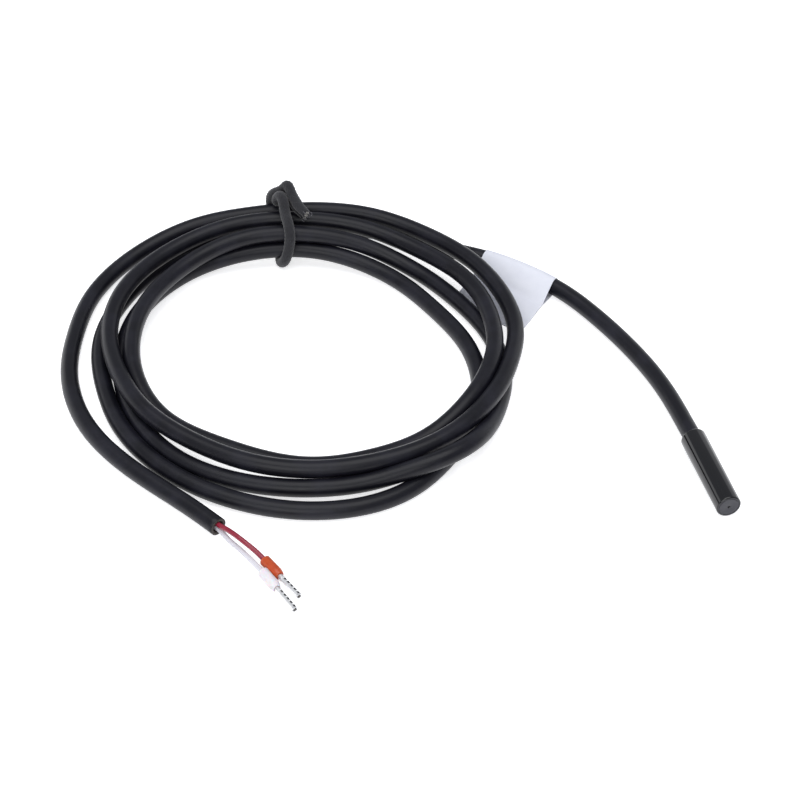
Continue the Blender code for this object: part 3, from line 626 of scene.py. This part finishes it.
# The tie's cord, in mm: along the coil to the right, outwards, and up, from the end that shows
TIE_ROUTE = (
    (5.4, -5, 15), (3.9, -1.9, 15.4), (3, 1.3, 15.9), (2.3, 3.6, 16.7), (1.8, 5.6, 17.4),
    (1.2, 5.7, 16.1), (0.2, 6.3, 15), (-0.8, 7, 14.2), (-1.7, 7.9, 13), (-2.2, 9.4, 10.8),
    (-2.3, 9.9, 8.6), (-2, 10, 6.2), (-1.5, 9.5, 3.8), (-1.2, 7.9, 1.6), (-1.3, 3.5, 1.4),
    (-1.4, 0.7, 1.4), (-1.6, -2.1, 1.4), (-1.8, -5.5, 1.5), (-1.3, -6.7, 3.2), (-0.5, -8.2, 5.6),
    (0.2, -8.4, 8.2), (0.6, -8.4, 11.3), (0.5, -6.2, 13.2), (0.2, -3.4, 13.9), (0.1, -0.9, 15),
    (-0, 1.1, 16), (-0.5, 3.1, 15.9), (-1.1, 4.2, 14.4), (-0.9, 6.2, 12.2), (0.5, 7.7, 12.1),
    (1.5, 8.3, 13.3), (2.3, 6.3, 13.7), (2.8, 3.2, 13.8), (3.7, 0.2, 13.5), (5.1, -3.1, 13.1),
)


def beside_tie(along, outward_by, up):
    """A place in metres from one at the tie: along the coil, outwards from the bundle's middle, and up."""
    c, s = math.cos(TIE_ANGLE), math.sin(TIE_ANGLE)
    away = TIE_FROM_MIDDLE + outward_by
    return COIL_MIDDLE[0] + c * away + s * along, COIL_MIDDLE[1] + s * away - c * along, up


def braid(turn, along):
    """Height of the sleeve's yarns, which run round both ways and pass over and under each other."""
    one = math.sin(math.pi * (CARRIERS * turn + along / BRAID_PITCH * 2))
    other = math.sin(math.pi * (CARRIERS * turn - along / BRAID_PITCH * 2))
    from_end = min(along, tie_long - along)
    slack = max(1 - from_end / SLACK_LENGTH, 0) ** 2 * SLACK_LOSS
    return YARN_HEIGHT * (abs(one * other) - 0.5) - slack


near_tie = cable_path[np.hypot(cable_path[:, 0] - beside_tie(0, 0, 0)[0],
                               cable_path[:, 1] - beside_tie(0, 0, 0)[1]) < 20 * MM]
tie_path = smooth_points([beside_tie(*point) for point in in_metres(TIE_ROUTE)], 0.6 * MM)
tie_path = settle(iron(tie_path, 40), TIE_SQUEEZED, 8, near_tie, (CABLE_D + TIE_SQUEEZED) / 2, 200)
tie_path = smooth_points(iron(tie_path, 20), 0.22 * MM)
tie_long = float(np.linalg.norm(np.diff(tie_path, axis=0), axis=1).sum())
tie_end = ((0.1 * MM, 0.33 * TIE_WIDE), (0.12 * MM, 0.3 * TIE_WIDE), (-0.1 * MM, 0.24 * TIE_WIDE),
           (-0.12 * MM, 0))
tie = round_cord("tie_cord", tie_path, TIE_WIDE / 2, 48, start=tie_end, end=tie_end, relief=braid)

# Polyester braid over rubber: soft matt charcoal, dusty, with a fibre's sheen at its edges.
sleeve, sleeve_shader = finished("polyester_braided")
on_sleeve = add(sleeve, "ShaderNodeUVMap", {"uv_map": "cord"})
fibre_scale = add(sleeve, "ShaderNodeMapping", sockets={
    "Vector": on_sleeve.outputs["UV"], "Rotation": (0, 0, 0.6), "Scale": (90, 9000, 1)})
fibres = add(sleeve, "ShaderNodeTexNoise", sockets={"Vector": fibre_scale, "Scale": 1.0, "Detail": 2.0})
in_room = add(sleeve, "ShaderNodeTexCoord")
dust = add(sleeve, "ShaderNodeTexNoise", sockets={
    "Vector": in_room.outputs["Object"], "Scale": 1100.0, "Detail": 4.0, "Roughness": 0.7})
fluff = add(sleeve, "ShaderNodeMath", {"operation": "MULTIPLY"},
            {0: fibres.outputs["Fac"], 1: dust.outputs["Fac"]})
fluff_share = add(sleeve, "ShaderNodeMapRange", sockets={"Value": fluff, "From Min": 0.15, "From Max": 0.4})
sleeve_tone = add(sleeve, "ShaderNodeMix", {"data_type": "RGBA"},
                  {0: fluff_share.outputs[0], 6: linear("#111115"), 7: linear("#232329")})
sleeve_bump = add(sleeve, "ShaderNodeBump", sockets={"Height": fluff, "Strength": 0.6, "Distance": 0.00008})
link(sleeve.node_tree, sleeve_shader, {
    "Base Color": sleeve_tone.outputs[2], "Roughness": 0.85, "Normal": sleeve_bump, "Sheen Weight": 0.25,
    "Sheen Roughness": 0.5})
tie.data.materials.append(sleeve)
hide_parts("cable_tie")
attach(tie, "root")

# Loose fibres of the sleeve: short bent hairs that stand off it all along.
FUZZ_LONG, FUZZ_D, FUZZ_PER_M2 = 0.5 * MM, 0.03 * MM, 1.1e6
fuzz_tree = bpy.data.node_groups.new("braid_fuzz", "GeometryNodeTree")
fuzz_tree.interface.new_socket("Geometry", in_out="INPUT", socket_type="NodeSocketGeometry")
for socket_name in ("Hair length", "Hair diameter", "Hairs per square metre"):
    fuzz_tree.interface.new_socket(socket_name, in_out="INPUT", socket_type="NodeSocketFloat")
fuzz_tree.interface.new_socket("Surface", in_out="INPUT", socket_type="NodeSocketMaterial")
fuzz_tree.interface.new_socket("Geometry", in_out="OUTPUT", socket_type="NodeSocketGeometry")
given = add(fuzz_tree, "NodeGroupInput")
roots = add(fuzz_tree, "GeometryNodeDistributePointsOnFaces", sockets={
    "Mesh": given.outputs["Geometry"], "Density": given.outputs["Hairs per square metre"], "Seed": 7})
hair_top = add(fuzz_tree, "ShaderNodeCombineXYZ", sockets={"Z": given.outputs["Hair length"]})
hair_bend = add(fuzz_tree, "ShaderNodeVectorMath", {"operation": "MULTIPLY_ADD"}, {
    0: hair_top, 1: (0, 0, 0.6), 2: (0.00012, 0, 0)})
hair_line = add(fuzz_tree, "GeometryNodeCurveQuadraticBezier", sockets={
    "Resolution": 3, "Start": (0, 0, 0), "Middle": hair_bend, "End": hair_top})
hair_radius = add(fuzz_tree, "ShaderNodeMath", {"operation": "MULTIPLY"}, {
    0: given.outputs["Hair diameter"], 1: 0.5})
hair_round = add(fuzz_tree, "GeometryNodeCurvePrimitiveCircle",
                 sockets={"Resolution": 3, "Radius": hair_radius})
hair = add(fuzz_tree, "GeometryNodeCurveToMesh",
           sockets={"Curve": hair_line, "Profile Curve": hair_round, "Fill Caps": True})
lean = add(fuzz_tree, "FunctionNodeRandomValue", {"data_type": "FLOAT_VECTOR"}, {
    "Min": (-1.1, -1.1, -3.1), "Max": (1.1, 1.1, 3.1), "Seed": 3})
hair_size = add(fuzz_tree, "FunctionNodeRandomValue", {"data_type": "FLOAT"}, {2: 0.3, 3: 1.0, "Seed": 5})
hairs = add(fuzz_tree, "GeometryNodeInstanceOnPoints", sockets={
    "Points": roots.outputs["Points"], "Instance": hair, "Rotation": roots.outputs["Rotation"],
    "Scale": hair_size.outputs[1]})
leaning = add(fuzz_tree, "GeometryNodeRotateInstances",
              sockets={"Instances": hairs, "Rotation": lean.outputs[0]})
loose = add(fuzz_tree, "GeometryNodeRealizeInstances", sockets={"Geometry": leaning})
coloured = add(fuzz_tree, "GeometryNodeSetMaterial",
               sockets={"Geometry": loose, "Material": given.outputs["Surface"]})
add(fuzz_tree, "NodeGroupOutput", sockets={"Geometry": coloured})


def grown(name, source, tree, values):
    """The mesh that a tree grows from a source, as a piece of its own. values go by its inputs' names."""
    growing = placed(name, source)
    modifier = growing.modifiers.new(name, "NODES")
    modifier.node_group = tree
    for item in tree.interface.items_tree:
        if item.item_type == "SOCKET" and item.in_out == "INPUT" and item.name in values:
            modifier[item.identifier] = values[item.name]
    ready = growing.evaluated_get(bpy.context.evaluated_depsgraph_get())
    mesh = bpy.data.meshes.new_from_object(ready)
    bpy.data.objects.remove(growing)
    mesh.name = name
    return placed(name, mesh)


# One fibre by itself is greyer than the sleeve.
hair_finish = toned("polyester_fibre", "#2a2a2d", "#55555b", {"Scale": 2000.0}, {"Roughness": 0.6})
fuzz = grown("tie_fuzz", tie.data.copy(), fuzz_tree, {
    "Hair length": FUZZ_LONG, "Hair diameter": FUZZ_D, "Hairs per square metre": FUZZ_PER_M2,
    "Surface": hair_finish})
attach(fuzz, "root")

# Frayed ends: seven rubber threads show in each cut end of the tie, and a few yarns of the sleeve came loose.
THREAD_D, THREAD_OUT, YARN_D = 0.42 * MM, 0.35 * MM, 0.16 * MM
# Cut latex thread: chalky grey. Polyester yarn: dull grey.
rubber = toned("latex_thread_cut", "#6f6d69", "#a8a5a0", {"Scale": 4000.0}, {"Roughness": 0.7})
yarn = toned("polyester_yarn_loose", "#3c3c41", "#747479", {"Scale": 6000.0}, {"Roughness": 0.7})
# Each loose yarn: where it starts, as a share of a turn, and how far it reaches out and rises, in mm
LOOSE_YARNS = ((0.05, 0.8, -0.3), (0.2, 0.6, 0.2), (0.42, 1.0, -0.5), (0.6, 0.5, -0.1), (0.78, 0.7, 0.2))


def joined(name, pieces):
    """Puts several closed meshes into one object."""
    whole = bmesh.new()
    for piece in pieces:
        whole.from_mesh(piece.data)
        bpy.data.objects.remove(piece)
    mesh = bpy.data.meshes.new(name)
    whole.to_mesh(mesh)
    whole.free()
    return placed(name, mesh)


for end_name, end_path in (("upper", tie_path[::-1]), ("lower", tie_path)):
    ahead, across, up = cord_frames(end_path)[-1]
    last_place = Vector(end_path[-1])
    threads = []
    for k in range(7):
        spread = 0 if k == 0 else 1.15 * THREAD_D
        turn = 2 * math.pi * k / 6
        from_middle = (across * math.cos(turn) + up * math.sin(turn)) * spread
        out_by = THREAD_OUT * (0.5 + 0.5 * math.sin(2.3 * k))
        thread_line = [last_place + from_middle + ahead * past
                       for past in (-0.6 * MM, -0.2 * MM, 0.1 * MM, 0.1 * MM + out_by)]
        threads.append(round_cord(f"thread_{k}", np.array(thread_line), THREAD_D / 2, 8, start=((0, 0),),
                                  end=((0, 0),)))
    rubber_threads = joined(f"tie_threads_{end_name}", threads)
    rubber_threads.data.materials.append(rubber)
    yarns = []
    for turn, reach, drop in LOOSE_YARNS:
        root = (across * math.cos(2 * math.pi * turn) + up * math.sin(2 * math.pi * turn))
        reach, drop = reach * MM, drop * MM
        control = [last_place + root * 0.4 * TIE_D - ahead * 0.4 * MM, last_place + root * 0.46 * TIE_D,
                   last_place + root * 0.52 * TIE_D + ahead * reach * 0.6,
                   last_place + root * 0.36 * TIE_D + ahead * reach + Vector((0, 0, drop))]
        yarns.append(round_cord("yarn", smooth_points(control, 0.12 * MM), YARN_D / 2, 6, start=((0, 0),),
                                end=((0, 0),)))
    loose_yarns = joined(f"tie_yarns_{end_name}", yarns)
    loose_yarns.data.materials.append(yarn)
    for piece in (rubber_threads, loose_yarns):
        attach(piece, "root")

# Stripped end: the jacket is cut back, and each core runs on, bent a little, into the collar of its wire-end
# ferrule. Red ends in an orange collar and white in a white one, both on tinned tubes pressed on the strands.
CORE_D, CORE_SPREAD = 1.2 * MM, 0.75 * MM
COLLAR_D, COLLAR_LENGTH, COLLAR_NECK_D, COLLAR_NECK = 2.6 * MM, 6.0 * MM, 2.0 * MM, 1.3 * MM
COLLAR_LIP, COLLAR_MOUTH, CORE_IN_COLLAR = 0.2 * MM, 1.2 * MM, 3.4 * MM
PIN_D, PIN_BORE, PIN_LENGTH, PIN_IN_COLLAR = 1.3 * MM, 0.9 * MM, 7.5 * MM, 2.0 * MM
PIN_FLAT, PIN_SHOULDER = 1.15 * MM, 1.2 * MM
PIN_BITES, BITE_DEPTH, BITE_SLANT, BITE_TURN = 5, 0.07 * MM, 0.12 * MM, math.radians(60)
STRAND_D, STRAND_TWIST = 0.135 * MM, 11 * MM
CLEAR = 0.1 * MM
# The two cores between the jacket's end and their collars, in mm
RED_ROUTE = ((-111.4, 6.5, 3.2), (-109.8, 4, 3.4), (-107.8, 1.2, 3), (-106, -0.9, 2.1))
WHITE_ROUTE = ((-111.3, 5.4, 1), (-109.2, 1.9, 0.7), (-107.4, -2, 0.9))
# The middle of each collar's front edge, seen from above, and which way its pin points
RED_FRONT, RED_HEADING = (-102.2 * MM, -8.5 * MM), math.radians(-66.5)
WHITE_FRONT, WHITE_HEADING = (-103.5 * MM, -12.0 * MM), math.radians(-69.0)
jacket_end = Vector(cable_path[-1])
jacket_ahead = Vector(cable_path[-1] - cable_path[-2]).normalized()


def collar(name, front, heading):
    """A moulded bell, wide where the core goes in and necked down on the tube."""
    outer, neck, core_bore = COLLAR_D / 2, COLLAR_NECK_D / 2, CORE_D / 2 + CLEAR
    outline = [(-COLLAR_LENGTH + 0.03 * MM, core_bore + COLLAR_LIP)]
    outline += fillet((-COLLAR_LENGTH, outer), (-COLLAR_LENGTH, 0), (0, outer), COLLAR_LIP)
    outline += fillet((-COLLAR_NECK, outer), (-COLLAR_LENGTH, outer), (0, neck), 0.5 * MM)
    outline += fillet((0, neck), (-COLLAR_NECK, outer), (0, 0), 0.25 * MM)
    outline += [(0, PIN_D / 2 + CLEAR), (-PIN_IN_COLLAR - CLEAR, PIN_D / 2 + CLEAR),
                (-PIN_IN_COLLAR - CLEAR, core_bore), (COLLAR_MOUTH - COLLAR_LENGTH, core_bore)]
    return turned(name, outline, front, heading, 48)


def ferrule_pin(name, front, heading):
    """A tube, round in its collar and pressed nearly square in front of it. The press leaves a row of
    slanting bites near two opposite edges and spreads the open end into corners."""
    sides, steps = 48, 150
    lead_on, beside = level_ways(heading)
    verts, faces, rings, shaded_bite_verts = [], [], [], set()
    whole = PIN_LENGTH + PIN_IN_COLLAR
    outer = [(-PIN_IN_COLLAR + whole * step / steps, True) for step in range(steps + 1)]
    inner = [(PIN_LENGTH - 0.05 * MM, False), (PIN_LENGTH - 1.2 * MM, False), (-PIN_IN_COLLAR, False)]
    pitch = (PIN_LENGTH - PIN_SHOULDER) / PIN_BITES
    for along, outside in outer + inner:
        ring = []
        pressed = min(max((along - 0.5 * PIN_SHOULDER) / (0.6 * PIN_SHOULDER), 0), 1)
        flare = max(1 - (PIN_LENGTH - along) / (0.7 * MM), 0) ** 2
        for side in range(sides):
            turn = 2 * math.pi * (side + 0.5) / sides
            c, s = math.cos(turn), math.sin(turn)
            power = 2 + 5 * pressed
            shape = (abs(c) ** power + abs(s) ** power) ** (-1 / power)
            if outside:
                slant = along + BITE_SLANT * math.sin(2 * (turn - BITE_TURN))
                wave = (slant - PIN_SHOULDER) / pitch % 1
                beside_edge = min(max(3 * math.cos(2 * (turn - BITE_TURN)) - 1.2, 0), 1)
                bite = BITE_DEPTH * pressed * (1 - flare) * beside_edge
                bite *= min(max(min(wave, 0.75 - wave) * 12, 0), 1)
                # Vertices deeper than half a bite mark where the painted shade goes.
                if bite > 0.5 * BITE_DEPTH:
                    shaded_bite_verts.add(len(verts))
                half = PIN_D / 2 + (PIN_FLAT - PIN_D) / 2 * pressed - bite
                reach = half * shape * (1 + 0.16 * flare * (shape - 1) / 0.3)
            else:
                reach = PIN_BORE / 2 * (1 + 0.1 * flare * (shape - 1) / 0.3)
            notch = 0.5 * MM * flare * max(math.cos(2 * turn), 0) ** 3
            place = Vector(front) + lead_on * (along - notch) + reach * (beside * c + Vector((0, 0, s)))
            ring.append(len(verts))
            verts.append(place)
        rings.append(ring)
    for ring, following in zip(rings, rings[1:] + rings[:1]):
        for k in range(sides):
            step = (k + 1) % sides
            faces.append((ring[k], ring[step], following[step], following[k]))
    mesh = closed_mesh(name, verts, faces, 30)
    # Faces deep in a bite take the second finish, a painted shade.
    for face in mesh.polygons:
        face.material_index = int(shaded_bite_verts.issuperset(face.vertices))
    return placed(name, mesh)


def strand_bundle(name, front, heading):
    """Nineteen tinned strands twisted together, from inside the core's end to inside the tube's mouth."""
    lead_on, beside = level_ways(heading)
    places = [(0, 0)] + [(1, k / 6) for k in range(6)] + [(2, k / 12) for k in range(12)]
    start, end = CORE_IN_COLLAR + CLEAR - COLLAR_LENGTH, PIN_LENGTH - 1.0 * MM
    strands = []
    for layer, share in places:
        line = []
        for along in np.linspace(start, end, 25):
            turn = 2 * math.pi * (share + along / STRAND_TWIST)
            line.append(Vector(front) + lead_on * along + layer * 1.02 * STRAND_D
                        * (beside * math.cos(turn) + Vector((0, 0, math.sin(turn)))))
        strands.append(round_cord("strand", np.array(line), STRAND_D / 2, 8, start=((0, 0),), end=((0, 0),)))
    return joined(name, strands)


def polypropylene(name, dark, light):
    """Moulded polypropylene: waxy, a little light goes into it, and its colour is thin where the wall is."""
    return toned(name, dark, light, {"Scale": 800.0, "Detail": 2.0}, {
        "Roughness": 0.34, "IOR": 1.49, "Subsurface Weight": 0.35, "Subsurface Scale": 0.0008,
        "Subsurface Radius": (1.0, 0.4, 0.2)}, (0.2, 0.0001))


# Drawn copper with a worn coat of tin: brownish grey and bright.
strand_copper = toned("copper_drawn_tinned", "#7c6a5e", "#b5a598", {"Scale": 5000.0},
                      {"Roughness": 0.3, "Metallic": 1.0})
# Painted shade in the press's bites: the faces at the bottom of each bite get a darker, rougher, cloudy grey
# metal in place of the bright tin.
bite_shade = toned("tin_plated_bite_shade", "#242425", "#5c5c5e", {"Scale": 4000.0},
               {"Roughness": 0.45, "Metallic": 1.0})
orange = polypropylene("polypropylene_orange", "#aa3a0e", "#cf5a28")
white = polypropylene("polypropylene_white", "#e0dbe0", "#efe9ee")
for colour, side, route, front_xy, heading, core_finish, collar_colour, collar_finish in (
        ("red", 1, RED_ROUTE, RED_FRONT, RED_HEADING, red_pvc, "orange", orange),
        ("white", -1, WHITE_ROUTE, WHITE_FRONT, WHITE_HEADING, white_pvc, "white", white)):
    front = (*front_xy, COLLAR_D / 2)
    ahead, _ = level_ways(heading)
    collar_back = Vector(front) - ahead * COLLAR_LENGTH
    core_start = jacket_end + jacket_ahead * 0.3 * MM + Vector((0, 0, side * CORE_SPREAD))
    in_jacket = core_start - jacket_ahead * 1.7 * MM
    core_points = [in_jacket, core_start, *in_metres(route), collar_back,
                   collar_back + ahead * CORE_IN_COLLAR]
    core_path = iron(smooth_points(core_points, 0.5 * MM), 30)
    core = round_cord(f"{colour}_core_wire", core_path, CORE_D / 2, 24, start=((0, 0),),
                      end=((0, 0.5 * CORE_D / 2), (0, 0)))
    core.data.materials.append(core_finish)
    collar_piece = collar(f"{colour}_collar", front, heading)
    collar_piece.data.materials.append(collar_finish)
    pin = ferrule_pin(f"{colour}_pin", front, heading)
    pin.data.materials.append(tinned)
    pin.data.materials.append(bite_shade)
    strands = strand_bundle(f"{colour}_strand_bundle", front, heading)
    strands.data.materials.append(strand_copper)
    for piece, node, slot_name in ((core, f"{colour}_core", f"core_{colour}"),
                                   (collar_piece, f"{colour}_ferrule_collar", f"collar_{collar_colour}"),
                                   (pin, f"{colour}_ferrule_pin", "tinned"),
                                   (strands, f"{colour}_strands", "copper")):
        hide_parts(node)
        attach(piece, "root")

# Floor and light: a white sweep under a large soft light from above, weaker ones from three sides and an even
# pale room. The camera sees the sweep lifted to white, and the shadows stay on it.
FLOOR_HALF = 3.0
floor_corners = [(x * FLOOR_HALF, y * FLOOR_HALF, 0) for x, y in ((-1, -1), (1, -1), (1, 1), (-1, 1))]
floor_mesh = bpy.data.meshes.new("studio_floor")
floor_mesh.from_pydata(floor_corners, [], [(0, 1, 2, 3)])
floor = placed("studio_floor", floor_mesh)
paper, paper_shader = finished("white_sweep")
link(paper.node_tree, paper_shader, {
    "Base Color": linear("#f2f2f4"), "Roughness": 0.9, "Specular IOR Level": 0.2})
ray = add(paper, "ShaderNodeLightPath")
shown = add(paper, "ShaderNodeMath", {"operation": "MULTIPLY"}, {0: ray.outputs["Is Camera Ray"], 1: 0.65})
seen = add(paper, "ShaderNodeMath", {"operation": "MULTIPLY_ADD"},
           {0: ray.outputs["Is Glossy Ray"], 1: 0.6, 2: shown})
glow = add(paper, "ShaderNodeEmission", sockets={"Color": (1, 1, 1, 1), "Strength": seen})
both = add(paper, "ShaderNodeAddShader", sockets={0: paper_shader.outputs[0], 1: glow})
link(paper.node_tree, paper.node_tree.nodes["Material Output"], {"Surface": both})
floor_mesh.materials.append(paper)


def soft_light(name, place, aim, size, power):
    """A soft rectangular lamp that looks from its place at its aim."""
    lamp = bpy.data.lights.new(name, "AREA")
    lamp.shape = "RECTANGLE"
    lamp.size, lamp.size_y = size
    lamp.energy = power
    holder = placed(name, lamp)
    holder.location = place
    holder.rotation_euler = (Vector(aim) - Vector(place)).to_track_quat("-Z", "Y").to_euler()


bundle = (-0.07, 0.05, 0)
soft_light("left_softbox", (-0.75, 0.6, 0.12), bundle, (0.9, 0.45), 1.2)
soft_light("right_softbox", (0.75, 0.55, 0.25), bundle, (0.8, 0.6), 0.7)
soft_light("top_softbox", (-0.1, 0.0, 0.85), bundle, (0.9, 0.7), 4.3)
soft_light("front_softbox", (-0.4, -0.5, 0.4), bundle, (0.6, 0.4), 1.9)
world = bpy.data.worlds.new("pale_room")
bpy.context.scene.world = world
world.use_nodes = True
room = world.node_tree
room_light = room.nodes["Background"]
link(room, room_light, {"Color": linear("#dfe2ea"), "Strength": 0.55})
room_ray = add(room, "ShaderNodeLightPath")
white_room = add(room, "ShaderNodeBackground", sockets={"Color": (1, 1, 1, 1), "Strength": 1.0})
clear_ray = add(room, "ShaderNodeMath", {"operation": "MAXIMUM"},
                {0: room_ray.outputs["Is Camera Ray"], 1: room_ray.outputs["Is Transmission Ray"]})
room_mix = add(room, "ShaderNodeMixShader", sockets={0: clear_ray, 1: room_light, 2: white_room})
link(room, room.nodes["World Output"], {"Surface": room_mix})
bpy.context.scene.view_settings.view_transform = "Standard"
